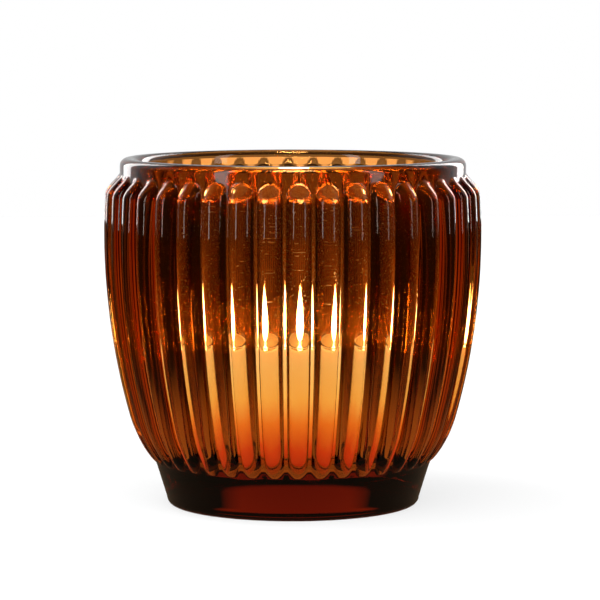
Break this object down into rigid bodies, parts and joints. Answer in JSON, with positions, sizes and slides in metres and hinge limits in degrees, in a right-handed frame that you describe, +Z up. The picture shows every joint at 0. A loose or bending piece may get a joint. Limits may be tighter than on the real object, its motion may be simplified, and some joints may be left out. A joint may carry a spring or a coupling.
{
  "type": "tealight holder",
  "caption": "Round ribbed pressed-glass tealight holder in clear amber, with a plain collar, a bowl that tapers to a low foot, and a tealight in a clear cup that lifts out.",
  "frame": {"origin": "centre of the foot's underside, on the surface the holder stands on", "axes": "+Z up along the cup's axis of symmetry; a rib's crest lies on +X, -X, +Y and -Y; the view of the picture looks along +Y"},
  "size_m": [0.075, 0.075, 0.069],
  "materials": {
    "amber_glass": "clear amber pressed glass, fire-polished, with faint mould ripple and a few seed bubbles",
    "clear_plastic": "thin clear moulded polycarbonate, glossy",
    "wax": "translucent cream paraffin wax, satin",
    "wick_cotton": "braided cotton, charred at the top",
    "tinned_steel": "thin stamped tinned steel"
  },
  "bodies": {
    "holder": {"glass_cup": "amber_glass"},
    "tealight": {"tealight_cup": "clear_plastic", "wax": "wax", "wick": "wick_cotton", "wick_sustainer": "tinned_steel"}
  },
  "joints": [
    {"name": "tealight_lift", "type": "slide", "parent": "holder", "child": "tealight", "axis": [0, 0, 1], "range_m": [0, 0.075]}
  ]
}
